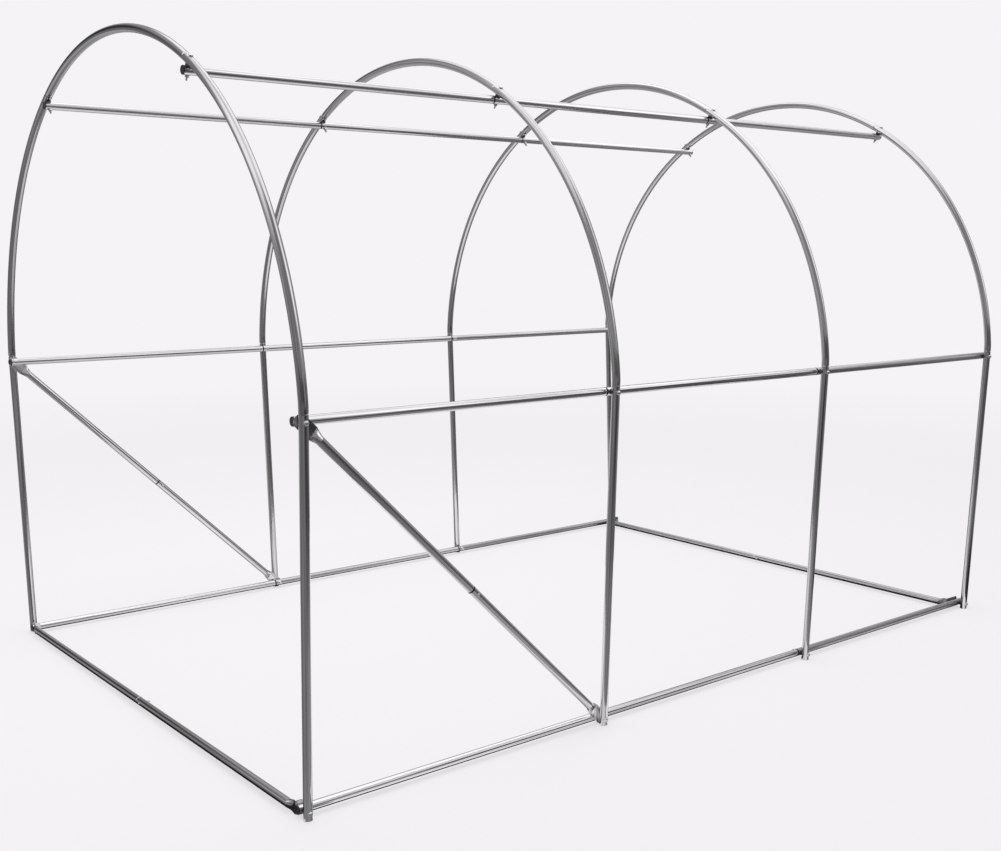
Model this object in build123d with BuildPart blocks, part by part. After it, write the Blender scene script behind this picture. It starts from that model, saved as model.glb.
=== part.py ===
"""Bare frame of a walk-in hoop greenhouse, made of thin galvanised steel tube.

Four hoops stand in a row. Each is two legs, two side bends and a crown, plugged into each other.
Base rails, side rails and purlins run along the inside of the hoops, on saddle pads, two flat-ended
braces stiffen the front bay, and an end rail ties the feet of the front hoop and of the rear hoop.
X runs across the house, Y from the front to the rear and Z up, in millimetres, from the middle of
the ground that the frame stands on.
"""

import os
from math import cos, degrees, pi, radians, sin

from build123d import *

os.makedirs("parts", exist_ok=True)

# Tube stock, and the reduced end that plugs one tube into the next
tube_diameter = 25.0
tube_wall = 1.0
swage_length = 45.0
swage_taper = 5.0
swage_gap = 0.25
seat_gap = 0.15

# Places of the hoops along the house
front_bay = 1020.0
middle_bay = 970.0
rear_bay = 1010.0

# Outline of a hoop
foot_half_span = 1042.0
leg_lean = 2.2
knee_turn = 4.7
knee_radius = 250.0
bend_radius = 1061.0
purlin_angle = 60.8

# Bolts that hold the rails, and the tube joints beside them
ground_gap = 1.0
side_rail_rise = 1023.0
leg_joint_rise = 18.0
crown_joint_lead = 22.0
rail_joint_lead = 15.0
rail_overhang = 13.0

# Pressed flat ends of the braces and the end rails
flare_length = 26.0
flat_slit = 0.3
brace_flat_length = 44.0
brace_joint_share = 0.508
lug_bend_radius = 4.0
lug_lead = 6.0
lug_tail = 12.0
lug_corner = 9.0
lug_turn = 90.0
front_end_lead = 11.0
rear_end_lead = 55.0

# Plastic caps on the rail ends
cap_radius = 12.4
cap_head = 3.5
cap_edge = 1.2
cap_stem = 8.0
cap_fit = 0.2

# Pads between the hoops and the rails
saddle_radius = 9.5

# Sizes that follow from the tube
tube_radius = tube_diameter / 2
tube_bore = tube_radius - tube_wall
swage_radius = tube_bore - swage_gap
swage_bore = swage_radius - tube_wall
flat_thickness = 2 * tube_wall
flat_width = pi * (tube_diameter - tube_wall) / 2 + tube_wall
flat_radius = flat_width / 2
lap_gap = flat_thickness + 2 * seat_gap
rail_inset = tube_diameter + lap_gap
brace_inset = tube_radius + lap_gap / 2
base_rail_rise = flat_radius + ground_gap

# Places of the hoops, with the middle of the house at zero
house_length = front_bay + middle_bay + rear_bay
front_place = -house_length / 2
second_place = front_place + front_bay
third_place = second_place + middle_bay
rear_place = third_place + rear_bay
hoop_places = {"front": front_place, "second": second_place, "third": third_place, "rear": rear_place}

# Angles of the right-hand half of a hoop, from the level line up
lean = radians(leg_lean)
knee = radians(knee_turn)
purlin_turn = radians(purlin_angle)
crown_turn = purlin_turn + crown_joint_lead / bend_radius


def side_point(rise, inset):
    """Point at a rise along the right-hand leg and an inset from its axis towards the middle."""
    x = foot_half_span + rise * sin(lean) - inset * cos(lean)
    z = rise * cos(lean) + inset * sin(lean)
    return x, z


def around(centre, radius, turn):
    """Point on a circle in the plane of a hoop."""
    return centre[0] + radius * cos(turn), centre[1] + radius * sin(turn)


# Centres of the knee, the side bend and the crown
leg_top_rise = side_rail_rise + leg_joint_rise
knee_centre = side_point(leg_top_rise + swage_taper, knee_radius)
bend_centre = around(knee_centre, knee_radius - bend_radius, knee)
crown_joint = around(bend_centre, bend_radius, crown_turn)
crown_start_x = crown_joint[0] - swage_taper * sin(crown_turn)
crown_start_z = crown_joint[1] + swage_taper * cos(crown_turn)
crown_radius = crown_start_x / cos(crown_turn)
crown_centre = (0, crown_start_z - crown_radius * sin(crown_turn))

# Right-hand rail axes in the plane across the house
rail_axes = {
    "base_rail": side_point(base_rail_rise, rail_inset),
    "side_rail": side_point(side_rail_rise, rail_inset),
    "purlin": around(bend_centre, bend_radius - rail_inset, purlin_turn),
}


def arc_section(centre, radius, turn, place):
    """Plane square to an arc of the hoop that stands at a place along the house."""
    x, z = around(centre, radius, turn)
    return Plane(origin=(x, place, z), x_dir=(0, 1, 0), z_dir=(-sin(turn), 0, cos(turn)))


def arc_axis(centre, place):
    """Axis that an arc of the hoop is turned about, from the side up to the crown."""
    return Axis((centre[0], place, centre[1]), (0, -1, 0))


def tube_outline(start, end, swaged):
    """Half section of a straight tube between two stations, with its reduced end if it has one."""
    outline = [(start, tube_bore), (start, tube_radius)]
    if swaged:
        shoulder = end - swage_taper
        tip = end + swage_length
        outline += [(shoulder, tube_radius), (end, swage_radius), (tip, swage_radius)]
        outline += [(tip, swage_bore), (end, swage_bore), (shoulder, tube_bore)]
    else:
        outline += [(end, tube_radius), (end, tube_bore)]
    return outline


def swage_outline(tail):
    """Half section of the cone at a reduced end, with a straight plug of the given length behind it."""
    cone = [(0, swage_radius), (swage_taper, tube_radius), (swage_taper, tube_bore), (0, swage_bore)]
    plug = [(-tail, swage_bore), (-tail, swage_radius)] if tail else []
    return plug + cone


def make_leg(side, place):
    """Straight leg, cut level at the ground, with a plain upper end."""
    foot_x, foot_z = side_point(0, 0)
    with BuildPart() as leg:
        with BuildSketch(Plane(origin=(foot_x, place, foot_z), z_dir=(sin(lean), 0, cos(lean)))):
            Circle(tube_radius)
            Circle(tube_bore, mode=Mode.SUBTRACT)
        extrude(amount=leg_top_rise)
        extrude(faces().sort_by(Axis.Z)[0], amount=tube_radius)
        split(bisect_by=Plane.XY, keep=Keep.TOP)
        if side == "left":
            mirror(about=Plane.YZ, mode=Mode.REPLACE)
    return leg.part


def make_side_bend(side, place):
    """Bent tube from the leg to the crown, reduced at its lower end."""
    joint_x, joint_z = side_point(leg_top_rise, 0)
    joint = Plane(origin=(joint_x, place, joint_z), x_dir=(sin(lean), 0, cos(lean)), z_dir=(0, 1, 0))
    with BuildPart() as bend:
        with BuildSketch(joint):
            with BuildLine():
                Polyline(*swage_outline(swage_length), close=True)
            make_face()
        revolve(axis=Axis(joint.origin, joint.x_dir))
        with BuildSketch(arc_section(knee_centre, knee_radius, -lean, place)):
            Circle(tube_radius)
            Circle(tube_bore, mode=Mode.SUBTRACT)
        revolve(axis=arc_axis(knee_centre, place), revolution_arc=degrees(lean + knee))
        with BuildSketch(arc_section(bend_centre, bend_radius, knee, place)):
            Circle(tube_radius)
            Circle(tube_bore, mode=Mode.SUBTRACT)
        revolve(axis=arc_axis(bend_centre, place), revolution_arc=degrees(crown_turn - knee))
        if side == "left":
            mirror(about=Plane.YZ, mode=Mode.REPLACE)
    return bend.part


def make_crown(place):
    """Bent tube over the top of the house, reduced at both ends to plug into the side bends."""
    plug_turn = swage_length / bend_radius
    tangent = (-sin(crown_turn), 0, cos(crown_turn))
    joint = Plane(origin=(crown_joint[0], place, crown_joint[1]), x_dir=tangent, z_dir=(0, 1, 0))
    with BuildPart() as crown:
        with BuildSketch(arc_section(bend_centre, bend_radius, crown_turn - plug_turn, place)):
            Circle(swage_radius)
            Circle(swage_bore, mode=Mode.SUBTRACT)
        revolve(axis=arc_axis(bend_centre, place), revolution_arc=degrees(plug_turn))
        with BuildSketch(joint):
            with BuildLine():
                Polyline(*swage_outline(0), close=True)
            make_face()
        revolve(axis=Axis(joint.origin, joint.x_dir))
        mirror(about=Plane.YZ)
        with BuildSketch(arc_section(crown_centre, crown_radius, crown_turn, place)):
            Circle(tube_radius)
            Circle(tube_bore, mode=Mode.SUBTRACT)
        revolve(axis=arc_axis(crown_centre, place), revolution_arc=degrees(pi - 2 * crown_turn))
    return crown.part


def make_rail_tube(side, axis_point, start, end, swaged):
    """One bay of a rail, reduced at its rear end where another bay follows."""
    x, z = axis_point
    lengthwise = Plane(origin=(x, 0, z), x_dir=(0, 1, 0), z_dir=(1, 0, 0))
    with BuildPart() as rail:
        with BuildSketch(lengthwise):
            with BuildLine():
                Polyline(*tube_outline(start, end, swaged), close=True)
            make_face()
        revolve(axis=Axis(lengthwise.origin, lengthwise.x_dir))
        if side == "left":
            mirror(about=Plane.YZ, mode=Mode.REPLACE)
    return rail.part


def swaged_start():
    """Outline of a reduced end that lies before the start of a half rail."""
    return [
        (swage_taper, tube_radius),
        (0, swage_radius),
        (-swage_length, swage_radius),
        (-swage_length, swage_bore),
        (0, swage_bore),
        (swage_taper, tube_bore),
    ]


def make_end_rail(side, place, lead):
    """Half of the rail between the feet of an end hoop, pressed flat and bent back to its bolt."""
    rail_x, rail_z = rail_axes["base_rail"]
    rail_y = place - lead
    lug_x = rail_x - tube_radius - seat_gap - tube_wall
    bend_x = lug_x - lug_bend_radius
    crease_x = bend_x - lug_lead
    flare_x = crease_x - flare_length
    along = Plane(origin=(0, rail_y, rail_z), x_dir=(1, 0, 0), z_dir=(0, 0, 1))
    across = Plane(origin=(0, rail_y, rail_z), x_dir=(0, 0, 1), z_dir=(1, 0, 0))
    lug_start = rail_y + lug_bend_radius
    lug_length = place + lug_tail - lug_start
    with BuildPart() as end_rail:
        with BuildSketch(along):
            with BuildLine():
                if side == "left":
                    Polyline((flare_x, tube_bore), (flare_x, tube_radius), *swaged_start(), close=True)
                else:
                    Polyline(*tube_outline(0, flare_x, False), close=True)
            make_face()
        revolve(axis=Axis(along.origin, along.x_dir))
        with BuildSketch(across.offset(flare_x)):
            Circle(tube_radius)
        with BuildSketch(across.offset(crease_x)):
            SlotOverall(flat_width, flat_thickness)
        loft()
        with BuildSketch(across.offset(flare_x)):
            Circle(tube_bore)
        with BuildSketch(across.offset(crease_x)):
            SlotOverall(flat_width - flat_thickness, flat_slit)
        loft(mode=Mode.SUBTRACT)
        with BuildSketch(across.offset(crease_x)):
            SlotOverall(flat_width, flat_thickness)
        extrude(amount=lug_lead)
        with BuildSketch(across.offset(bend_x)):
            SlotOverall(flat_width, flat_thickness)
        revolve(axis=Axis((bend_x, lug_start, rail_z), (0, 0, 1)), revolution_arc=lug_turn)
        with BuildSketch(Plane(origin=(lug_x, lug_start, rail_z), x_dir=(0, 1, 0), z_dir=(1, 0, 0))):
            with Locations((lug_length / 2, 0)):
                Rectangle(lug_length, flat_width)
            fillet(vertices().group_by(Axis.X)[-1], lug_corner)
        extrude(amount=tube_wall, both=True)
        if side == "left":
            mirror(about=Plane.YZ, mode=Mode.REPLACE)
    return end_rail.part


def make_brace_tube(side, start_bolt, end_bolt, length_share, swaged):
    """One tube of a brace, from its flat end on a bolt to the joint part way to the other bolt."""
    start_x, start_z = side_point(start_bolt[1], brace_inset)
    end_x, end_z = side_point(end_bolt[1], brace_inset)
    start = Vector(start_x, start_bolt[0], start_z)
    run = Vector(end_x, end_bolt[0], end_z) - start
    flat = Plane(origin=start, x_dir=run, z_dir=(-cos(lean), 0, sin(lean)))
    across = Plane(origin=start, x_dir=flat.y_dir, z_dir=run)
    body_start = brace_flat_length + flare_length
    with BuildPart() as brace:
        with BuildSketch(flat):
            Circle(flat_radius)
            with Locations((brace_flat_length / 2, 0)):
                Rectangle(brace_flat_length, flat_width)
        extrude(amount=tube_wall, both=True)
        with BuildSketch(across.offset(brace_flat_length)):
            SlotOverall(flat_width, flat_thickness)
        with BuildSketch(across.offset(body_start)):
            Circle(tube_radius)
        loft()
        with BuildSketch(across.offset(brace_flat_length)):
            SlotOverall(flat_width - flat_thickness, flat_slit)
        with BuildSketch(across.offset(body_start)):
            Circle(tube_bore)
        loft(mode=Mode.SUBTRACT)
        with BuildSketch(flat):
            with BuildLine():
                Polyline(*tube_outline(body_start, length_share * run.length, swaged), close=True)
            make_face()
        revolve(axis=Axis(flat.origin, flat.x_dir))
        if side == "left":
            mirror(about=Plane.YZ, mode=Mode.REPLACE)
    return brace.part


def make_end_caps():
    """Caps on both ends of the six rails, each a rounded head on a plug that fits the tube."""
    ends = [(front_place - rail_overhang, -1), (rear_place + rail_overhang, 1)]
    with BuildPart() as caps:
        for x, z in rail_axes.values():
            for end_place, outward in ends:
                with BuildSketch(Plane(origin=(x, end_place, z), z_dir=(0, outward, 0))):
                    Circle(cap_radius)
                extrude(amount=cap_head)
                with BuildSketch(Plane(origin=(x, end_place, z), z_dir=(0, -outward, 0))):
                    Circle(tube_bore - cap_fit)
                extrude(amount=cap_stem)
        rims = edges().filter_by(GeomType.CIRCLE).group_by(Axis.Y)
        fillet(rims[0] + rims[-1], cap_edge)
        mirror(about=Plane.YZ)
    return caps.part


def make_saddles(seats):
    """Pads that fill the lap between hoop and rail, hollowed to the round of the tube on each side."""
    with BuildPart() as saddles:
        for (x, z), turn, place in seats:
            inwards = Plane(origin=(x, place, z), x_dir=(0, 1, 0), z_dir=(-cos(turn), 0, -sin(turn)))
            with BuildSketch(inwards):
                Circle(saddle_radius)
            extrude(amount=rail_inset)
            with BuildSketch(Plane(origin=inwards.origin, z_dir=inwards.y_dir)):
                Circle(tube_radius + seat_gap)
            extrude(amount=tube_diameter, both=True, mode=Mode.SUBTRACT)
            with BuildSketch(Plane(origin=inwards.offset(rail_inset).origin, z_dir=inwards.x_dir)):
                Circle(tube_radius + seat_gap)
            extrude(amount=tube_diameter, both=True, mode=Mode.SUBTRACT)
        mirror(about=Plane.YZ)
    return saddles.part


def save(part, name):
    """Label a finished piece and write it under its own name."""
    part.label = name
    export_step(part, f"parts/{name}.step")


sides = ("left", "right")

# Hoops
for hoop, place in hoop_places.items():
    for side in sides:
        save(make_leg(side, place), f"{hoop}_hoop_{side}_leg")
        save(make_side_bend(side, place), f"{hoop}_hoop_{side}_bend")
    save(make_crown(place), f"{hoop}_hoop_crown")

# Rails along the house, one tube to a bay
rail_ends = [
    ("front", front_place - rail_overhang, second_place - rail_joint_lead, True),
    ("middle", second_place - rail_joint_lead, third_place - rail_joint_lead, True),
    ("rear", third_place - rail_joint_lead, rear_place + rail_overhang, False),
]
for rail, axis_point in rail_axes.items():
    for side in sides:
        for bay, start, end, swaged in rail_ends:
            save(make_rail_tube(side, axis_point, start, end, swaged), f"{side}_{rail}_{bay}")

# End rails between the feet of the front and rear hoops, each in two halves
for hoop, lead in (("front", front_end_lead), ("rear", rear_end_lead)):
    halves = [make_end_rail(side, hoop_places[hoop], lead) for side in sides]
    save(Compound(children=halves), f"{hoop}_end_rail")

# Braces in the front bay, from the front side-rail bolt down to the second hoop's foot
upper_bolt = (front_place, side_rail_rise)
lower_bolt = (second_place, base_rail_rise)
for side in sides:
    upper = make_brace_tube(side, upper_bolt, lower_bolt, brace_joint_share, True)
    lower = make_brace_tube(side, lower_bolt, upper_bolt, 1 - brace_joint_share, False)
    save(Compound(children=[upper, lower]), f"{side}_brace")

save(make_end_caps(), "rail_end_caps")

# Saddle pads at each crossing that has no brace end in it
saddle_seats = []
for hoop, place in hoop_places.items():
    saddle_seats.append((around(bend_centre, bend_radius, purlin_turn), purlin_turn, place))
    if hoop != "front":
        saddle_seats.append((side_point(side_rail_rise, 0), -lean, place))
    if hoop != "second":
        saddle_seats.append((side_point(base_rail_rise, 0), -lean, place))
save(make_saddles(saddle_seats), "rail_saddles")
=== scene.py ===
import math

import bpy
from mathutils import Matrix, Vector


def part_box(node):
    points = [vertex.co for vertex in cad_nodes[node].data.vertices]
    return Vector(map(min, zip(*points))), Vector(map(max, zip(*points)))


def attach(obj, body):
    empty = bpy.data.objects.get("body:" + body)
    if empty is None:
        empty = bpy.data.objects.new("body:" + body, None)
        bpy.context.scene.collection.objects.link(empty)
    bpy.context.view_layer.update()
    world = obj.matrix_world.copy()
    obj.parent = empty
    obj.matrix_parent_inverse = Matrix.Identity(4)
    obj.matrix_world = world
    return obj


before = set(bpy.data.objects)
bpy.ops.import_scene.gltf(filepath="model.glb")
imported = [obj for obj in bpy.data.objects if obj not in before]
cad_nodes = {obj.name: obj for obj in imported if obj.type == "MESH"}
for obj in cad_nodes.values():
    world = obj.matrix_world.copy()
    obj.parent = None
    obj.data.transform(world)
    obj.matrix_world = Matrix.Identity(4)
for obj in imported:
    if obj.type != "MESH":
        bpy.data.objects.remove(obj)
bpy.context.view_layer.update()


# Legs
# Each hoop stands on two straight legs of thin galvanised steel tube, leaning out a little.
# The tube is rolled from zinc-coated strip, so it has fine streaks along it, a faint bloom of zinc
# crystals and one weld seam down its side. The light and dark streaks in its colour are partly real
# marks and partly painted reflection stripes. Tubes differ in shade and gloss.
hoops = ("front", "second", "third", "rear")
sides = {"left": -1, "right": 1}
leg_lean = math.radians(2.2)
leg_seam = (0, 1, 0)
tube_dullness = 0.09
zinc_light = (0.75, 0.735, 0.75, 1)
zinc_dark = (0.385, 0.375, 0.385, 1)
seam_zinc = (0.58, 0.58, 0.58, 1)
# Near black of the painted shade in joint grooves and at the rear lugs.
painted_shade_grey = (0.05, 0.05, 0.05, 1)
fine_streak = Vector((340, 340, 1.8))
broad_streak = Vector((140, 140, 0.8))
bloom_grain = Vector((240, 240, 160))
cloud_grain = Vector((30, 30, 5))
fine_detail = 3
plain_detail = 2
fine_streak_share = 0.35
broad_streak_share = 0.65
streak_range = (0.43, 0.57)
cloud_range = (0.35, 0.7)
cloud_share = 0.22
bloom_range = (0.5, 0.75)
bloom_share = 0.2
bloom_relief_share = 0.5
seam_range = (0.988, 0.996)
seam_share = 0.7
gloss_range = (0.3, 0.7)
cloud_roughness = (-0.02, 0.08)
# Extra roughness where the painted shade lies.
painted_shade_roughness = 0.4
seam_roughness = 0.12
streak_depth = 0.00006
streak_strength = 0.35


def add_node(tree, kind, inputs=None, **settings):
    """Node of one kind with its settings, its inputs given as values or as sockets to link."""
    node = tree.nodes.new(kind)
    for name, value in settings.items():
        setattr(node, name, value)
    for name, value in (inputs or {}).items():
        if isinstance(value, bpy.types.NodeSocket):
            tree.links.new(value, node.inputs[name])
        else:
            node.inputs[name].default_value = value
    return node


def new_group(name, kind, inputs, outputs):
    """Empty node group with named sockets, and its input and output sockets."""
    group = bpy.data.node_groups.new(name, kind)
    for label, socket in inputs.items():
        group.interface.new_socket(label, in_out="INPUT", socket_type=socket)
    for label, socket in outputs.items():
        group.interface.new_socket(label, in_out="OUTPUT", socket_type=socket)
    return group, group.nodes.new("NodeGroupInput").outputs, group.nodes.new("NodeGroupOutput").inputs


def add_group(tree, group, inputs):
    """Output sockets of a node that stands for a group, its inputs given as values or as sockets."""
    return add_node(tree, tree.bl_idname.replace("NodeTree", "NodeGroup"), inputs, node_tree=group).outputs


def arithmetic(tree, operation, *values):
    """Result of one arithmetic step."""
    return add_node(tree, "ShaderNodeMath", dict(enumerate(values)), operation=operation).outputs[0]


def vector_step(tree, operation, *values):
    """Results of one step of vector arithmetic, as Vector and as Value."""
    return add_node(tree, "ShaderNodeVectorMath", dict(enumerate(values)), operation=operation).outputs


def noise(tree, vector, scale, detail):
    """Noise value over a vector that is scaled differently along its three axes."""
    scaled = vector_step(tree, "MULTIPLY", vector, scale)["Vector"]
    grain = add_node(tree, "ShaderNodeTexNoise", {"Vector": scaled, "Scale": 1, "Detail": detail})
    return grain.outputs[0]


def spread(tree, value, low, high, to_low=0, to_high=1):
    """Value stretched from one range to another and held inside it."""
    ranges = {"From Min": low, "From Max": high, "To Min": to_low, "To Max": to_high}
    return add_node(tree, "ShaderNodeMapRange", {"Value": value, **ranges}).outputs[0]


def blend(tree, share, first, second):
    """Two colours mixed by a share. The Mix node has its colours at 6 and 7 and their mix at 2."""
    return add_node(tree, "ShaderNodeMix", {0: share, 6: first, 7: second}, data_type="RGBA").outputs[2]


zinc_and_painted_light, zinc_in, zinc_out = new_group(
    "zinc_and_painted_light",
    "ShaderNodeTree",
    {
        "Run": "NodeSocketVector",
        "Seam Side": "NodeSocketVector",
        "Dullness": "NodeSocketFloat",
        "Shade": "NodeSocketFloat",
        "Painted Shade": "NodeSocketFloat",
    },
    {"Colour": "NodeSocketColor", "Roughness": "NodeSocketFloat", "Height": "NodeSocketFloat"},
)
fine = noise(zinc_and_painted_light, zinc_in["Run"], fine_streak, fine_detail)
broad = noise(zinc_and_painted_light, zinc_in["Run"], broad_streak, plain_detail)
bloom = noise(zinc_and_painted_light, zinc_in["Run"], bloom_grain, plain_detail)
cloud = noise(zinc_and_painted_light, zinc_in["Run"], cloud_grain, fine_detail)
# The light and dark streaks are partly real marks along the tube and partly painted reflection stripes.
fine_part = arithmetic(zinc_and_painted_light, "MULTIPLY", fine, fine_streak_share)
streaks = arithmetic(zinc_and_painted_light, "MULTIPLY_ADD", broad, broad_streak_share, fine_part)
streaked = blend(zinc_and_painted_light, spread(zinc_and_painted_light, streaks, *streak_range), zinc_dark, zinc_light)
cloudy = spread(zinc_and_painted_light, cloud, *cloud_range, 0, cloud_share)
clouded = blend(zinc_and_painted_light, cloudy, streaked, zinc_dark)
blooming = spread(zinc_and_painted_light, bloom, *bloom_range, 0, bloom_share)
bloomed = blend(zinc_and_painted_light, blooming, clouded, zinc_light)
normal = zinc_and_painted_light.nodes.new("ShaderNodeTexCoord").outputs["Normal"]
facing = vector_step(zinc_and_painted_light, "DOT_PRODUCT", normal, zinc_in["Seam Side"])["Value"]
seam = spread(zinc_and_painted_light, facing, *seam_range, 0, seam_share)
seamed = blend(zinc_and_painted_light, seam, bloomed, seam_zinc)
tone_inputs = {0: seamed, "Scale": zinc_in["Shade"]}
toned = add_node(zinc_and_painted_light, "ShaderNodeVectorMath", tone_inputs, operation="SCALE").outputs[0]
# Painted shade: bands darken the colour to near black and dull the gloss, in joint grooves and at the rear
# lugs.
shade_painted = blend(zinc_and_painted_light, zinc_in["Painted Shade"], toned, painted_shade_grey)
cloud_dulling = spread(zinc_and_painted_light, cloud, *gloss_range, *cloud_roughness)
dulled = arithmetic(zinc_and_painted_light, "ADD", zinc_in["Dullness"], cloud_dulling)
painted_shade_dulled = arithmetic(zinc_and_painted_light, "MULTIPLY_ADD", zinc_in["Painted Shade"], painted_shade_roughness, dulled)
roughness = arithmetic(zinc_and_painted_light, "MULTIPLY_ADD", seam, seam_roughness, painted_shade_dulled)
relief = arithmetic(zinc_and_painted_light, "MULTIPLY_ADD", bloom, bloom_relief_share, fine)
zinc_and_painted_light.links.new(shade_painted, zinc_out["Colour"])
zinc_and_painted_light.links.new(roughness, zinc_out["Roughness"])
zinc_and_painted_light.links.new(relief, zinc_out["Height"])


def galvanised(name, find_run, seam_side, dullness=tube_dullness, shade=1.0, shade_bands=None):
    """Galvanised tube, streaked along its run, with bands of painted shade: half width, soft edge and depth.
    """
    material = bpy.data.materials.new(name)
    material.use_nodes = True
    tree = material.node_tree
    shader = tree.nodes["Principled BSDF"]
    shader.inputs["Metallic"].default_value = 1
    run = find_run(tree, tree.nodes.new("ShaderNodeTexCoord").outputs["Object"])
    station = add_node(tree, "ShaderNodeSeparateXYZ", {0: run}).outputs["Z"]
    painted_shade = 0
    for band, (half, edge, depth) in (shade_bands or {}).items():
        apart = arithmetic(tree, "ABSOLUTE", arithmetic(tree, "SUBTRACT", station, band))
        in_band = spread(tree, apart, half, half + edge, depth, 0)
        painted_shade = arithmetic(tree, "MAXIMUM", painted_shade, in_band)
    inputs = {"Run": run, "Seam Side": seam_side, "Dullness": dullness, "Shade": shade, "Painted Shade": painted_shade}
    finish = add_group(tree, zinc_and_painted_light, inputs)
    bump_inputs = {"Strength": streak_strength, "Distance": streak_depth, "Height": finish["Height"]}
    bump = add_node(tree, "ShaderNodeBump", bump_inputs).outputs[0]
    tree.links.new(finish["Colour"], shader.inputs["Base Color"])
    tree.links.new(finish["Roughness"], shader.inputs["Roughness"])
    tree.links.new(bump, shader.inputs["Normal"])
    return material


def along(axis):
    """Finder of the run of a straight tube: the place turned so that the tube lies on Z."""
    turn = Vector(axis).rotation_difference(Vector((0, 0, 1))).to_euler()

    def find_run(tree, place):
        """Place turned to the tube's own axis."""
        return add_node(tree, "ShaderNodeMapping", {"Vector": place, "Rotation": turn}).outputs[0]

    return find_run


def finish_nodes(names, material):
    """The finish put on CAD pieces in place of their plain one."""
    for name in names:
        cad_nodes[name].data.materials.clear()
        cad_nodes[name].data.materials.append(material)


for side, sign in sides.items():
    leg_axis = (sign * math.sin(leg_lean), 0, math.cos(leg_lean))
    leg_zinc = galvanised(f"{side}_leg_zinc", along(leg_axis), leg_seam)
    finish_nodes([f"{hoop}_hoop_{side}_leg" for hoop in hoops], leg_zinc)


# Side bends
# A bent tube carries on from each leg, its lower end reduced and pushed into the leg.
# It is the same tube stock, rolled to an arc, so its streaks follow the bend. The bent tubes of the
# front hoop are coloured darker.
bend_radius = 1.061
bend_centre_x = 0.0241
bend_centre_z = 0.9884
hoop_shades = {"front": 0.77, "second": 1.0, "third": 1.0, "rear": 1.0}

bent_run, bent_in, bent_out = new_group(
    "bent_run",
    "ShaderNodeTree",
    {"Place": "NodeSocketVector", "Centre": "NodeSocketVector", "Radius": "NodeSocketFloat"},
    {"Run": "NodeSocketVector"},
)
arm = vector_step(bent_run, "SUBTRACT", bent_in["Place"], bent_in["Centre"])["Vector"]
arm_parts = add_node(bent_run, "ShaderNodeSeparateXYZ", {0: arm}).outputs
in_plane = add_node(bent_run, "ShaderNodeCombineXYZ", {"X": arm_parts["X"], "Z": arm_parts["Z"]}).outputs[0]
arm_length = vector_step(bent_run, "LENGTH", in_plane)["Value"]
arm_turn = arithmetic(bent_run, "ARCTAN2", arm_parts["Z"], arm_parts["X"])
arc_length = arithmetic(bent_run, "MULTIPLY", arm_turn, bent_in["Radius"])
run_parts = {"X": arm_length, "Y": arm_parts["Y"], "Z": arc_length}
bent_run.links.new(add_node(bent_run, "ShaderNodeCombineXYZ", run_parts).outputs[0], bent_out["Run"])


def around(centre, radius):
    """Finder of the run of a bent tube, from the centre and the radius of its bend."""

    def find_run(tree, place):
        """Place measured out from the bend's centre, across it and along its arc."""
        return add_group(tree, bent_run, {"Place": place, "Centre": centre, "Radius": radius})["Run"]

    return find_run


for side, sign in sides.items():
    bend_run = around((sign * bend_centre_x, 0, bend_centre_z), bend_radius)
    for hoop, shade in hoop_shades.items():
        bend_zinc = galvanised(f"{hoop}_{side}_bend_zinc", bend_run, leg_seam, shade=shade)
        finish_nodes([f"{hoop}_hoop_{side}_bend"], bend_zinc)


# Crowns
# One more bent tube closes each hoop over the top, both its ends reduced and pushed into the
# side bends. It is bent a little wider than they are.
crown_radius = 1.1029
crown_centre_z = 0.9538
crown_run = around((0, 0, crown_centre_z), crown_radius)
for hoop, shade in hoop_shades.items():
    crown_zinc = galvanised(f"{hoop}_crown_zinc", crown_run, leg_seam, shade=shade)
    finish_nodes([f"{hoop}_hoop_crown"], crown_zinc)


# Base rails, side rails and purlins
# Six straight rails tie the hoops along the house, on the inside. Each is three tubes, one to a
# bay, the rear end of each reduced and pushed into the next. The tubes to the rear are duller, and
# the groove of each joint is darkened with painted shade.
rail_tones = {
    "base_rail": {"front": (0.09, 1.05), "middle": (0.13, 0.78), "rear": (0.4, 0.53)},
    "side_rail": {"front": (0.09, 1.05), "middle": (0.12, 1.0), "rear": (0.35, 0.85)},
    "purlin": {"front": (0.09, 1.05), "middle": (0.12, 1.12), "rear": (0.2, 1.15)},
}
rail_seam = (-0.26, 0, -0.966)
groove_half = 0.0023
groove_edge = 0.0006
# Painted shade in the groove at the mouth of each joint.
groove_painted_shade = (groove_half, groove_edge, 1)
rail_starts = [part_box(f"left_base_rail_{bay}")[0].y for bay in ("middle", "rear")]
rail_joints = {start - groove_half: groove_painted_shade for start in rail_starts}
rail_run = Vector((0, 1, 0))
for rail, bay_tones in rail_tones.items():
    for bay, (dullness, shade) in bay_tones.items():
        name = f"{bay}_{rail}_zinc"
        rail_zinc = galvanised(name, along(rail_run), rail_seam, dullness, shade, rail_joints)
        finish_nodes([f"{side}_{rail}_{bay}" for side in sides], rail_zinc)


# End rails
# A rail ties the feet of the front hoop, and one those of the rear hoop. Each is two tubes pushed
# together in the middle, with ends pressed flat and bent back to the corner bolts. The rear ends
# are darkened with painted shadow.
end_rail_seam = (0, -0.5, -0.866)
end_rail_run = Vector((1, 0, 0))
end_tones = {"front": (0.09, 1.0), "rear": (0.15, 0.9)}
lug_half = 0.01
lug_edge = 0.05
# Depth of the painted shadow on the pressed ends.
lug_painted_shade = {"front": 0, "rear": 0.45}
for end, (dullness, shade) in end_tones.items():
    name = f"{end}_end_rail_zinc"
    lugs = {corner.x: (lug_half, lug_edge, lug_painted_shade[end]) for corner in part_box(f"{end}_end_rail")}
    end_rail_zinc = galvanised(name, along(end_rail_run), end_rail_seam, dullness, shade, lugs)
    finish_nodes([f"{end}_end_rail"], end_rail_zinc)


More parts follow.
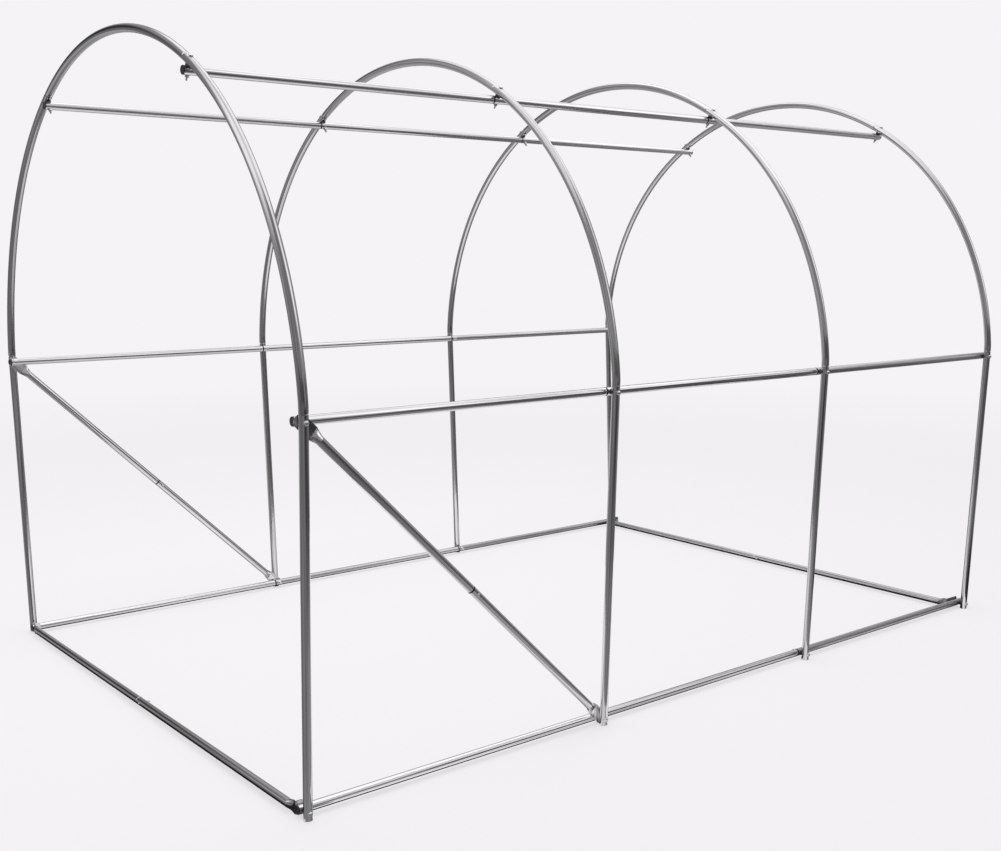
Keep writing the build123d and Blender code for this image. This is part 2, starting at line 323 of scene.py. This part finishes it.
# Braces
# A slanting brace stiffens each side of the front bay. Its ends are pressed flat and clamped between
# leg and rail, and its two tubes are pushed together near the middle.
brace_seam = (0, -0.707, -0.707)
brace_shades = {"left": 1.1, "right": 1.15}
brace_joint_share = 0.508


def middle(node):
    """Middle of the box of a CAD piece."""
    low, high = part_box(node)
    return (low + high) / 2


brace_runs = {}
brace_joints = {}
for side, shade in brace_shades.items():
    head = middle(f"{side}_side_rail_front")
    head.y = middle(f"front_hoop_{side}_leg").y
    foot = middle(f"{side}_base_rail_front")
    foot.y = middle(f"second_hoop_{side}_leg").y
    run = (foot - head).normalized()
    past_middle = (brace_joint_share - 0.5) * (foot - head).length
    joint = middle(f"{side}_brace") + run * past_middle
    # Painted shade in the groove of the brace joint.
    painted_shade = {joint.dot(run) - groove_half: groove_painted_shade}
    brace_zinc = galvanised(f"{side}_brace_zinc", along(run), brace_seam, shade=shade, shade_bands=painted_shade)
    finish_nodes([f"{side}_brace"], brace_zinc)
    brace_runs[side] = run
    brace_joints[side] = joint


# End caps and saddle pads
# Black plastic plugs close both ends of every rail, and dark plastic pads, hollowed on both sides,
# sit in the lap between hoop and rail. Both are moulded, with a fine grain and patches of dust.
plastic_black = (0.014, 0.014, 0.015, 1)
plastic_dusty = (0.05, 0.05, 0.052, 1)
plastic_grain = Vector((900, 900, 900))
plastic_relief = 0.0001
plastic_roughness = (0.38, 0.6)
dust_grain = Vector((60, 60, 60))
dust_range = (0.45, 0.75)

black_plastic = bpy.data.materials.new("black_moulded_plastic")
black_plastic.use_nodes = True
plastic_tree = black_plastic.node_tree
plastic_shader = plastic_tree.nodes["Principled BSDF"]
plastic_place = plastic_tree.nodes.new("ShaderNodeTexCoord").outputs["Object"]
grain = noise(plastic_tree, plastic_place, plastic_grain, plain_detail)
dust = noise(plastic_tree, plastic_place, dust_grain, fine_detail)
dusty = spread(plastic_tree, dust, *dust_range)
plastic_colour = blend(plastic_tree, dusty, plastic_black, plastic_dusty)
plastic_dulling = spread(plastic_tree, dust, *gloss_range, *plastic_roughness)
plastic_bump = add_node(plastic_tree, "ShaderNodeBump", {"Distance": plastic_relief, "Height": grain})
plastic_tree.links.new(plastic_colour, plastic_shader.inputs["Base Color"])
plastic_tree.links.new(plastic_dulling, plastic_shader.inputs["Roughness"])
plastic_tree.links.new(plastic_bump.outputs[0], plastic_shader.inputs["Normal"])
finish_nodes(["rail_end_caps", "rail_saddles"], black_plastic)


# Crossing bolts
# A long zinc-plated bolt clamps hoop and rail at each crossing. Its round head lies on the outside of
# the hoop, and its threaded end stands out inside the house.
tube_radius = 0.0125
lap_gap = 0.0023
purlin_turn = math.radians(60.8)
washer_thickness = 0.0012
bolt_head_radius = 0.0066
bolt_head_height = 0.0042
bolt_radius = 0.003
bolt_length = 0.0685
thread_length = 0.02
thread_pitch = 0.001
thread_mean_share = 0.94
thread_swing_share = 0.08
thread_stations = 4
head_sides = 24
head_rings = 12
shank_sides = 16
weld_reach = 0.00001
edge_angle = math.radians(35)
plating_light = (0.72, 0.73, 0.75, 1)
plating_dark = (0.5, 0.51, 0.53, 1)
plating_grain = Vector((300, 300, 300))
plating_roughness = (0.2, 0.38)
tarnish_range = (0.4, 0.7)

zinc_plating = bpy.data.materials.new("zinc_plating")
zinc_plating.use_nodes = True
plating_tree = zinc_plating.node_tree
plating_shader = plating_tree.nodes["Principled BSDF"]
plating_shader.inputs["Metallic"].default_value = 1
plating_place = plating_tree.nodes.new("ShaderNodeTexCoord").outputs["Object"]
tarnish = noise(plating_tree, plating_place, plating_grain, fine_detail)
tarnished = spread(plating_tree, tarnish, *tarnish_range)
plating_colour = blend(plating_tree, tarnished, plating_light, plating_dark)
plating_dulling = spread(plating_tree, tarnish, *gloss_range, *plating_roughness)
plating_tree.links.new(plating_colour, plating_shader.inputs["Base Color"])
plating_tree.links.new(plating_dulling, plating_shader.inputs["Roughness"])


def joined(tree, *pieces):
    """Several meshes as one."""
    whole = tree.nodes.new("GeometryNodeJoinGeometry")
    for piece in pieces:
        tree.links.new(piece, whole.inputs[0])
    return whole.outputs[0]


def upward(tree, height):
    """Vector along Z of one height."""
    return add_node(tree, "ShaderNodeCombineXYZ", {"Z": height}).outputs[0]


def lifted(tree, mesh, height):
    """Mesh moved along Z by a height."""
    inputs = {"Geometry": mesh, "Translation": upward(tree, height)}
    return add_node(tree, "GeometryNodeTransform", inputs).outputs[0]


domed_head, dome_in, dome_out = new_group(
    "domed_head",
    "GeometryNodeTree",
    {"Radius": "NodeSocketFloat", "Height": "NodeSocketFloat"},
    {"Head": "NodeSocketGeometry"},
)
ball_sizes = {"Segments": head_sides, "Rings": head_rings, "Radius": dome_in["Radius"]}
ball = add_node(domed_head, "GeometryNodeMeshUVSphere", ball_sizes).outputs["Mesh"]
ball_place = domed_head.nodes.new("GeometryNodeInputPosition").outputs[0]
ball_height = add_node(domed_head, "ShaderNodeSeparateXYZ", {0: ball_place}).outputs["Z"]
lower_half = arithmetic(domed_head, "LESS_THAN", ball_height, -weld_reach)
cup_inputs = {"Geometry": ball, "Selection": lower_half}
cup = add_node(domed_head, "GeometryNodeDeleteGeometry", cup_inputs).outputs[0]
flattening = arithmetic(domed_head, "DIVIDE", dome_in["Height"], dome_in["Radius"])
dome_scale = add_node(domed_head, "ShaderNodeCombineXYZ", {"X": 1, "Y": 1, "Z": flattening}).outputs[0]
dome = add_node(domed_head, "GeometryNodeTransform", {"Geometry": cup, "Scale": dome_scale}).outputs[0]
rim_sizes = {"Vertices": head_sides, "Radius": dome_in["Radius"]}
rim = add_node(domed_head, "GeometryNodeMeshCircle", rim_sizes, fill_type="NGON").outputs[0]
underside = add_node(domed_head, "GeometryNodeFlipFaces", {"Mesh": rim}).outputs[0]
weld_inputs = {"Geometry": joined(domed_head, dome, underside), "Distance": weld_reach}
welded = add_node(domed_head, "GeometryNodeMergeByDistance", weld_inputs).outputs[0]
domed_head.links.new(welded, dome_out["Head"])


def place_on_points(tree, points, instance, material):
    """Instances turned to the axis and the run that each point carries, made real, with a material."""
    axes = {}
    for label, name in (("Primary Axis", "axis"), ("Secondary Axis", "run")):
        carried = add_node(tree, "GeometryNodeInputNamedAttribute", {"Name": name}, data_type="FLOAT_VECTOR")
        axes[label] = carried.outputs[0]
    turn = add_node(tree, "FunctionNodeAxesToRotation", axes, primary_axis="Z", secondary_axis="X").outputs[0]
    inputs = {"Points": points, "Instance": instance, "Rotation": turn}
    placed = add_node(tree, "GeometryNodeInstanceOnPoints", inputs).outputs[0]
    real = add_node(tree, "GeometryNodeRealizeInstances", {"Geometry": placed}).outputs[0]
    return add_node(tree, "GeometryNodeSetMaterial", {"Geometry": real, "Material": material}).outputs[0]


bolt_set, bolt_in, bolt_out = new_group(
    "bolt_set",
    "GeometryNodeTree",
    {
        "Points": "NodeSocketGeometry",
        "Head Radius": "NodeSocketFloat",
        "Head Height": "NodeSocketFloat",
        "Shank Radius": "NodeSocketFloat",
        "Length": "NodeSocketFloat",
        "Thread Length": "NodeSocketFloat",
        "Thread Pitch": "NodeSocketFloat",
        "Material": "NodeSocketMaterial",
    },
    {"Bolts": "NodeSocketGeometry"},
)
head_sizes = {"Radius": bolt_in["Head Radius"], "Height": bolt_in["Head Height"]}
bolt_head = add_group(bolt_set, domed_head, head_sizes)["Head"]
plain_length = arithmetic(bolt_set, "SUBTRACT", bolt_in["Length"], bolt_in["Thread Length"])
shank_sizes = {"Vertices": shank_sides, "Radius": bolt_in["Shank Radius"], "Depth": plain_length}
shank = add_node(bolt_set, "GeometryNodeMeshCylinder", shank_sizes).outputs["Mesh"]
shank_placed = lifted(bolt_set, shank, arithmetic(bolt_set, "MULTIPLY", plain_length, -0.5))
thread_start = upward(bolt_set, arithmetic(bolt_set, "MULTIPLY", plain_length, -1))
thread_end = upward(bolt_set, arithmetic(bolt_set, "MULTIPLY", bolt_in["Length"], -1))
thread_ends = {"Start": thread_start, "End": thread_end}
thread_line = add_node(bolt_set, "GeometryNodeCurvePrimitiveLine", thread_ends).outputs[0]
turns = arithmetic(bolt_set, "DIVIDE", bolt_in["Thread Length"], bolt_in["Thread Pitch"])
stations = arithmetic(bolt_set, "MULTIPLY_ADD", turns, thread_stations, 1)
station_inputs = {"Curve": thread_line, "Count": stations}
stationed = add_node(bolt_set, "GeometryNodeResampleCurve", station_inputs).outputs[0]
here = bolt_set.nodes.new("GeometryNodeSplineParameter").outputs["Length"]
turned = arithmetic(bolt_set, "DIVIDE", here, bolt_in["Thread Pitch"])
wave = arithmetic(bolt_set, "COSINE", arithmetic(bolt_set, "MULTIPLY", turned, math.tau))
ridge = arithmetic(bolt_set, "MULTIPLY_ADD", wave, thread_swing_share, thread_mean_share)
ring_sizes = {"Resolution": shank_sides, "Radius": bolt_in["Shank Radius"]}
ring = add_node(bolt_set, "GeometryNodeCurvePrimitiveCircle", ring_sizes).outputs[0]
thread_inputs = {"Curve": stationed, "Profile Curve": ring, "Scale": ridge, "Fill Caps": True}
thread = add_node(bolt_set, "GeometryNodeCurveToMesh", thread_inputs).outputs[0]
bolt = joined(bolt_set, bolt_head, shank_placed, thread)
bolts = place_on_points(bolt_set, bolt_in["Points"], bolt, bolt_in["Material"])
bolt_set.links.new(bolts, bolt_out["Bolts"])


def scatter(name, group, seats, sizes):
    """Piece that repeats a fastener at its seats, each a place, an axis out of the metal and a run."""
    points = bpy.data.meshes.new(f"{name}_points")
    points.from_pydata([place for place, axis, run in seats], [], [])
    for label, column in (("axis", 1), ("run", 2)):
        values = points.attributes.new(label, "FLOAT_VECTOR", "POINT")
        values.data.foreach_set("vector", [part for seat in seats for part in seat[column]])
    piece = bpy.data.objects.new(name, points)
    bpy.context.scene.collection.objects.link(piece)
    modifier = piece.modifiers.new(name, "NODES")
    modifier.node_group = group
    for socket in group.interface.items_tree:
        if socket.name in sizes:
            modifier[socket.identifier] = sizes[socket.name]
    modifier[group.interface.items_tree["Material"].identifier] = zinc_plating
    graph = bpy.context.evaluated_depsgraph_get()
    piece.data = bpy.data.meshes.new_from_object(piece.evaluated_get(graph))
    piece.modifiers.clear()
    bpy.data.meshes.remove(points)
    piece.data.shade_smooth()
    piece.data.set_sharp_from_angle(angle=edge_angle)
    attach(piece, "root")


crossings = []
for side, sign in sides.items():
    for rail in rail_tones:
        turn = purlin_turn if rail == "purlin" else -leg_lean
        outward = Vector((sign * math.cos(turn), 0, math.sin(turn)))
        hoop_run = Vector((-sign * math.sin(turn), 0, math.cos(turn)))
        for hoop in hoops:
            rail_place = middle(f"{side}_{rail}_front")
            rail_place.y = middle(f"{hoop}_hoop_{side}_leg").y
            lugged = rail == "base_rail" and hoop in ("front", "rear")
            crossings.append((rail_place, outward, hoop_run, lugged))
washer_rise = 3 * tube_radius + lap_gap
head_rise = washer_rise + washer_thickness
bolt_seats = [(place + out * head_rise, out, run) for place, out, run, lugged in crossings]
bolt_sizes = {
    "Head Radius": bolt_head_radius,
    "Head Height": bolt_head_height,
    "Shank Radius": bolt_radius,
    "Length": bolt_length,
    "Thread Length": thread_length,
    "Thread Pitch": thread_pitch,
}
scatter("crossing_bolts", bolt_set, bolt_seats, bolt_sizes)


# Saddle washers
# Each bolt head and nut bears on a round washer of pressed steel, zinc plated and curved to sit on
# the tube. At the corners the flat end of the end rail takes the inner washer's place.
washer_radius = 0.0085
washer_sides = 28
washer_rings = 6

washer_set, washer_in, washer_out = new_group(
    "washer_set",
    "GeometryNodeTree",
    {
        "Points": "NodeSocketGeometry",
        "Radius": "NodeSocketFloat",
        "Thickness": "NodeSocketFloat",
        "Tube Radius": "NodeSocketFloat",
        "Material": "NodeSocketMaterial",
    },
    {"Washers": "NodeSocketGeometry"},
)
disc_sizes = {
    "Vertices": washer_sides,
    "Fill Segments": washer_rings,
    "Radius": washer_in["Radius"],
    "Depth": washer_in["Thickness"],
}
disc = add_node(washer_set, "GeometryNodeMeshCylinder", disc_sizes).outputs["Mesh"]
disc_placed = lifted(washer_set, disc, arithmetic(washer_set, "MULTIPLY", washer_in["Thickness"], 0.5))
disc_place = washer_set.nodes.new("GeometryNodeInputPosition").outputs[0]
off_run = add_node(washer_set, "ShaderNodeSeparateXYZ", {0: disc_place}).outputs["Y"]
off_squared = arithmetic(washer_set, "MULTIPLY", off_run, off_run)
tube_squared = arithmetic(washer_set, "MULTIPLY", washer_in["Tube Radius"], washer_in["Tube Radius"])
tube_height = arithmetic(washer_set, "SQRT", arithmetic(washer_set, "SUBTRACT", tube_squared, off_squared))
bend_drop = arithmetic(washer_set, "SUBTRACT", tube_height, washer_in["Tube Radius"])
bent_inputs = {"Geometry": disc_placed, "Offset": upward(washer_set, bend_drop)}
bent = add_node(washer_set, "GeometryNodeSetPosition", bent_inputs).outputs[0]
washers = place_on_points(washer_set, washer_in["Points"], bent, washer_in["Material"])
washer_set.links.new(washers, washer_out["Washers"])

washer_seats = [(place + out * washer_rise, out, run) for place, out, run, lugged in crossings]
for place, out, run, lugged in crossings:
    if not lugged:
        washer_seats.append((place - out * tube_radius, -out, rail_run))
washer_sizes = {"Radius": washer_radius, "Thickness": washer_thickness, "Tube Radius": tube_radius}
scatter("saddle_washers", washer_set, washer_seats, washer_sizes)


# Crossing nuts
# A plain hexagon nut of plated steel draws each bolt tight from inside the house, on the saddle
# washer or, at the corners, on the flat end of the end rail.
nut_width = 0.010
nut_height = 0.005
nut_chamfer = 0.0006
nut_top_share = 0.88
nut_sides = 6
lug_thickness = 0.0022

nut_set, nut_in, nut_out = new_group(
    "nut_set",
    "GeometryNodeTree",
    {
        "Points": "NodeSocketGeometry",
        "Width": "NodeSocketFloat",
        "Height": "NodeSocketFloat",
        "Chamfer": "NodeSocketFloat",
        "Material": "NodeSocketMaterial",
    },
    {"Nuts": "NodeSocketGeometry"},
)
corner_radius = arithmetic(nut_set, "DIVIDE", nut_in["Width"], math.sqrt(3))
side_height = arithmetic(nut_set, "SUBTRACT", nut_in["Height"], nut_in["Chamfer"])
hexagon_sizes = {"Vertices": nut_sides, "Radius": corner_radius, "Depth": side_height}
hexagon = add_node(nut_set, "GeometryNodeMeshCylinder", hexagon_sizes).outputs
raise_inputs = {
    "Mesh": hexagon["Mesh"],
    "Selection": hexagon["Top"],
    "Offset Scale": nut_in["Chamfer"],
    "Individual": False,
}
raised = add_node(nut_set, "GeometryNodeExtrudeMesh", raise_inputs).outputs
top_inputs = {"Geometry": raised["Mesh"], "Selection": raised["Top"], "Scale": nut_top_share}
chamfered = add_node(nut_set, "GeometryNodeScaleElements", top_inputs).outputs[0]
nut = lifted(nut_set, chamfered, arithmetic(nut_set, "MULTIPLY", side_height, 0.5))
nuts = place_on_points(nut_set, nut_in["Points"], nut, nut_in["Material"])
nut_set.links.new(nuts, nut_out["Nuts"])

nut_seats = []
for place, out, run, lugged in crossings:
    seat_rise = lug_thickness if lugged else washer_thickness
    nut_seats.append((place - out * (tube_radius + seat_rise), -out, rail_run))
nut_sizes = {"Width": nut_width, "Height": nut_height, "Chamfer": nut_chamfer}
scatter("crossing_nuts", nut_set, nut_seats, nut_sizes)


# Joint bolts
# A smaller plated bolt with a nut locks the tube joint in the middle of each brace and of each end
# rail. It goes through both tubes, a little way in from the mouth of the outer one.
joint_bolt_lead = 0.022
joint_head_radius = 0.0045
joint_head_height = 0.0028
joint_bolt_radius = 0.0025
joint_bolt_length = 0.035
joint_thread_length = 0.012
joint_thread_pitch = 0.0008
joint_nut_width = 0.008
joint_nut_height = 0.004

joint_seats = []
for side, sign in sides.items():
    run = brace_runs[side]
    outward = Vector((sign, 0, 0))
    outward = (outward - run * outward.dot(run)).normalized()
    joint_seats.append((brace_joints[side] + run * joint_bolt_lead, outward, run))
for end, sign in (("front", -1), ("rear", 1)):
    joint_place = Vector((joint_bolt_lead, 0, middle(f"{end}_end_rail").z))
    joint_place.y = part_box(f"{end}_end_rail")[0].y + tube_radius
    joint_seats.append((joint_place, rail_run * sign, end_rail_run))
joint_bolt_seats = [(place + out * tube_radius, out, run) for place, out, run in joint_seats]
joint_nut_seats = [(place - out * tube_radius, -out, run) for place, out, run in joint_seats]
joint_bolt_sizes = {
    "Head Radius": joint_head_radius,
    "Head Height": joint_head_height,
    "Shank Radius": joint_bolt_radius,
    "Length": joint_bolt_length,
    "Thread Length": joint_thread_length,
    "Thread Pitch": joint_thread_pitch,
}
joint_nut_sizes = {"Width": joint_nut_width, "Height": joint_nut_height, "Chamfer": nut_chamfer}
scatter("joint_bolts", bolt_set, joint_bolt_seats, joint_bolt_sizes)
scatter("joint_nuts", nut_set, joint_nut_seats, joint_nut_sizes)


# Floor
# A plain pale floor that fades into the background. It is seen nearly as bright as the background,
# and keeps a little of the light on it, so that the shadow shows.
floor_reach = 9.0
floor_fade = 3.5
floor_steps = 96
floor_shade = 0.3
backdrop_colour = (0.913, 0.896, 0.913, 1)


def stage_piece(name, points, faces, material):
    """Studio piece that isn't part of the object."""
    mesh = bpy.data.meshes.new(name)
    mesh.from_pydata(points, [], faces)
    mesh.materials.append(material)
    piece = bpy.data.objects.new(name, mesh)
    bpy.context.scene.collection.objects.link(piece)
    return piece


def seen_directly(tree):
    """One for a ray from the camera, or one that reaches it through a mirror or glass, and else zero."""
    paths = tree.nodes.new("ShaderNodeLightPath").outputs
    mirrored = arithmetic(tree, "MAXIMUM", paths["Is Glossy Ray"], paths["Is Transmission Ray"])
    return arithmetic(tree, "MAXIMUM", paths["Is Camera Ray"], mirrored)


floor_paint = bpy.data.materials.new("pale_floor")
floor_paint.use_nodes = True
floor_tree = floor_paint.node_tree
floor_tree.nodes.remove(floor_tree.nodes["Principled BSDF"])
lit = add_node(floor_tree, "ShaderNodeBsdfDiffuse", {"Color": backdrop_colour}).outputs[0]
plain = add_node(floor_tree, "ShaderNodeEmission", {"Color": backdrop_colour, "Strength": 1}).outputs[0]
plain_share = arithmetic(floor_tree, "MULTIPLY", seen_directly(floor_tree), 1 - floor_shade)
floor_surface = add_node(floor_tree, "ShaderNodeMixShader", {0: plain_share, 1: lit, 2: plain}).outputs[0]
floor_place = floor_tree.nodes.new("ShaderNodeTexCoord").outputs["Object"]
from_middle = vector_step(floor_tree, "LENGTH", floor_place)["Value"]
gone = add_node(floor_tree, "ShaderNodeBsdfTransparent").outputs[0]
fading = spread(floor_tree, from_middle, floor_fade, floor_reach)
faded = add_node(floor_tree, "ShaderNodeMixShader", {0: fading, 1: floor_surface, 2: gone}).outputs[0]
floor_tree.links.new(faded, floor_tree.nodes["Material Output"].inputs["Surface"])
floor_turns = [math.tau * step / floor_steps for step in range(floor_steps)]
floor_rim = [(floor_reach * math.cos(turn), floor_reach * math.sin(turn), 0) for turn in floor_turns]
stage_piece("floor", floor_rim, [range(floor_steps)], floor_paint)


# Light
# A pale studio: an even white surround and a wide soft lamp overhead. The room round it shows only in
# reflections, as stripes on the bright tube: grey walls, windows high up, a low dark wall and a grey
# ground with a white sheet under the frame.
surround_strength = 0.75
lamp_width = 4.0
lamp_length = 5.0
lamp_power = 128
lamp_place = (-0.6, -0.4, 5.2)
room_reach = 40.0
room_grey = 0.42
room_patches = (
    {"azimuth": -128, "elevation": 62, "reach": 40, "edge": 7, "shade": 1.5},
    {"azimuth": -174, "elevation": 28, "reach": 40, "edge": 6, "shade": 0.42},
    {"azimuth": 115, "elevation": 70, "reach": 38, "edge": 4, "shade": 1.6},
    {"azimuth": 42, "elevation": 36, "reach": 20, "edge": 5, "shade": 1.4},
    {"azimuth": -166, "elevation": 18, "reach": 14, "edge": 5, "shade": 0.06},
)
ground_grey = 0.25
ground_patches = (
    {"x": -7.0, "y": -1.0, "reach": 5.6, "edge": 1.0, "shade": 0.6},
    {"x": 1.0, "y": 5.0, "reach": 3.0, "edge": 1.0, "shade": 0.33},
    {"x": 6.6, "y": 0.4, "reach": 3.8, "edge": 1.4, "shade": 0.05},
    {"x": 1.2, "y": -0.6, "reach": 0.9, "edge": 0.5, "shade": 0.32},
    {"x": 1.5, "y": 1.7, "reach": 0.7, "edge": 0.4, "shade": 0.05},
)
ground_rise = 0.0003
sheet_rise = 0.0006
sheet_margin = 0.02
sheet_shade = 1.0
strip_width = 0.14
strip_leads = (0.1, 0.02, 0.15)
shadow_rise = 0.0009
shadow_margin = 0.004
end_shadow_margin = 0.05
shadow_shade = 0.03
skirting_start = -70
skirting_end = 15
skirting_low = -4
skirting_high = 9
skirting_shade = 0.13
skirting_steps = 16
skirting_inset = 1.0
wall_gap = 2.8
wall_front = 0.6
wall_rear = 9.0
wall_low = 0.01
wall_high = 1.62
wall_shade = 0.12

world = bpy.data.worlds.new("studio")
bpy.context.scene.world = world
world.use_nodes = True
world_tree = world.node_tree
background = world_tree.nodes["Background"]
background.inputs["Color"].default_value = backdrop_colour
world_strength = spread(world_tree, seen_directly(world_tree), 0, 1, surround_strength, 1)
world_tree.links.new(world_strength, background.inputs["Strength"])

overhead = bpy.data.lights.new("overhead_lamp", "AREA")
overhead.shape = "RECTANGLE"
overhead.size = lamp_width
overhead.size_y = lamp_length
overhead.energy = lamp_power
overhead_lamp = bpy.data.objects.new("overhead_lamp", overhead)
overhead_lamp.location = lamp_place
overhead_lamp.visible_glossy = False
bpy.context.scene.collection.objects.link(overhead_lamp)


def grey(shade):
    """Colour of one even grey."""
    return (shade, shade, shade, 1)


def glowing_paint(name):
    """Paint that glows as bright as its colour says, and the socket that takes the colour."""
    paint = bpy.data.materials.new(name)
    paint.use_nodes = True
    paint.cycles.emission_sampling = "NONE"
    tree = paint.node_tree
    tree.nodes.remove(tree.nodes["Principled BSDF"])
    glow = add_node(tree, "ShaderNodeEmission", {"Strength": 1})
    tree.links.new(glow.outputs[0], tree.nodes["Material Output"].inputs["Surface"])
    return paint, glow.inputs["Color"]


def even_paint(name, shade):
    """Glowing paint of one even grey."""
    paint, colour = glowing_paint(name)
    colour.default_value = grey(shade)
    return paint


def mirrored_piece(name, points, faces, paint):
    """Studio piece that shows only in reflections."""
    piece = stage_piece(name, points, faces, paint)
    piece.visible_camera = False
    piece.visible_diffuse = False
    piece.visible_shadow = False


def level_sheet(name, low, high, rise, paint):
    """Level mirrored piece between two corners."""
    corners = ((low[0], low[1]), (high[0], low[1]), (high[0], high[1]), (low[0], high[1]))
    mirrored_piece(name, [(x, y, rise) for x, y in corners], [(0, 1, 2, 3)], paint)


room_paint, room_glow = glowing_paint("grey_room")
room_tree = room_paint.node_tree
room_place = room_tree.nodes.new("ShaderNodeTexCoord").outputs["Object"]
sight = vector_step(room_tree, "NORMALIZE", room_place)["Vector"]
room_colour = grey(room_grey)
for patch in room_patches:
    turn = Matrix.Rotation(math.radians(patch["azimuth"]), 3, "Z")
    rise = math.radians(patch["elevation"])
    centre = turn @ Vector((math.cos(rise), 0, math.sin(rise)))
    nearness = vector_step(room_tree, "DOT_PRODUCT", sight, centre)["Value"]
    outside = math.cos(math.radians(patch["reach"] + patch["edge"]))
    inside = math.cos(math.radians(patch["reach"] - patch["edge"]))
    covered = spread(room_tree, nearness, outside, inside)
    room_colour = blend(room_tree, covered, room_colour, grey(patch["shade"]))
room_tree.links.new(room_colour, room_glow)
room_ends = (-room_reach, room_reach)
room_corners = [(x, y, z) for x in room_ends for y in room_ends for z in room_ends]
room_walls = [(0, 1, 3, 2), (4, 6, 7, 5), (0, 4, 5, 1), (2, 3, 7, 6), (0, 2, 6, 4), (1, 5, 7, 3)]
mirrored_piece("mirrored_room", room_corners, room_walls, room_paint)

ground_paint, ground_glow = glowing_paint("grey_ground")
ground_tree = ground_paint.node_tree
ground_place = ground_tree.nodes.new("ShaderNodeTexCoord").outputs["Object"]
ground_colour = grey(ground_grey)
for patch in ground_patches:
    centre = (patch["x"], patch["y"], ground_rise)
    apart = vector_step(ground_tree, "DISTANCE", ground_place, centre)["Value"]
    inside = patch["reach"] - patch["edge"]
    outside = patch["reach"] + patch["edge"]
    covered = spread(ground_tree, apart, inside, outside, 1, 0)
    ground_colour = blend(ground_tree, covered, ground_colour, grey(patch["shade"]))
ground_tree.links.new(ground_colour, ground_glow)
ground_low = (-room_reach, -room_reach)
ground_high = (room_reach, room_reach)
level_sheet("mirrored_ground", ground_low, ground_high, ground_rise, ground_paint)

sheet_paint = even_paint("white_sheet", sheet_shade)
rail_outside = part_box("right_base_rail_front")[1].x
sheet_x = rail_outside + sheet_margin
sheet_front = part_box("front_end_rail")[0].y
sheet_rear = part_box("rear_end_rail")[0].y
level_sheet("mirrored_sheet", (-sheet_x, sheet_front), (sheet_x, sheet_rear), sheet_rise, sheet_paint)
for hoop, next_hoop, lead in zip(hoops, hoops[1:], strip_leads):
    strip_low = (sheet_x, middle(f"{hoop}_hoop_right_leg").y + lead)
    strip_high = (sheet_x + strip_width, middle(f"{next_hoop}_hoop_right_leg").y)
    level_sheet(f"{hoop}_mirrored_strip", strip_low, strip_high, sheet_rise, sheet_paint)

shadow_paint = even_paint("contact_shadow", shadow_shade)
for side in sides:
    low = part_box(f"{side}_base_rail_front")[0]
    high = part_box(f"{side}_base_rail_rear")[1]
    low.x -= shadow_margin
    high.x += shadow_margin
    level_sheet(f"{side}_rail_shadow", low, high, shadow_rise, shadow_paint)
for end in end_tones:
    low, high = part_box(f"{end}_end_rail")
    high.y = low.y + 2 * tube_radius
    low.y -= end_shadow_margin
    level_sheet(f"{end}_rail_shadow", low, high, shadow_rise, shadow_paint)

skirting_reach = room_reach - skirting_inset
skirting_points = []
for step in range(skirting_steps + 1):
    azimuth = skirting_start + (skirting_end - skirting_start) * step / skirting_steps
    turn = Matrix.Rotation(math.radians(azimuth), 3, "Z")
    for elevation in (skirting_low, skirting_high):
        place = Vector((skirting_reach, 0, skirting_reach * math.tan(math.radians(elevation))))
        skirting_points.append(turn @ place)
skirting_faces = [(2 * step, 2 * step + 2, 2 * step + 3, 2 * step + 1) for step in range(skirting_steps)]
skirting_paint = even_paint("front_skirting_paint", skirting_shade)
mirrored_piece("mirrored_front_skirting", skirting_points, skirting_faces, skirting_paint)

wall_x = rail_outside + wall_gap
wall_points = [(wall_x, y, z) for y in (wall_front, wall_rear) for z in (wall_low, wall_high)]
wall_paint = even_paint("low_wall_paint", wall_shade)
mirrored_piece("mirrored_low_wall", wall_points, [(0, 2, 3, 1)], wall_paint)


# Camera
# The photograph's view, fitted to the frame, with lens and shift set for a picture as wide and high
# as the photograph.
picture_width = 1001
picture_height = 851
focal_pixels = 1251.27
centre_column = 535.14
centre_row = 458.14
camera_place = Vector((3.7096, -2.9608, 1.4255))
camera_yaw = math.radians(50.358)
camera_pitch = math.radians(9.39)
sensor_width = 36

camera_data = bpy.data.cameras.new("camera")
camera_data.sensor_fit = "HORIZONTAL"
camera_data.sensor_width = sensor_width
camera_data.lens = focal_pixels * sensor_width / picture_width
camera_data.shift_x = -(centre_column - picture_width / 2) / picture_width
camera_data.shift_y = (centre_row - picture_height / 2) / picture_width
camera = bpy.data.objects.new("camera", camera_data)
camera.location = camera_place
camera.rotation_euler = (math.pi / 2 - camera_pitch, 0, camera_yaw)
bpy.context.scene.collection.objects.link(camera)
bpy.context.scene.camera = camera
bpy.context.scene.view_settings.view_transform = "Standard"
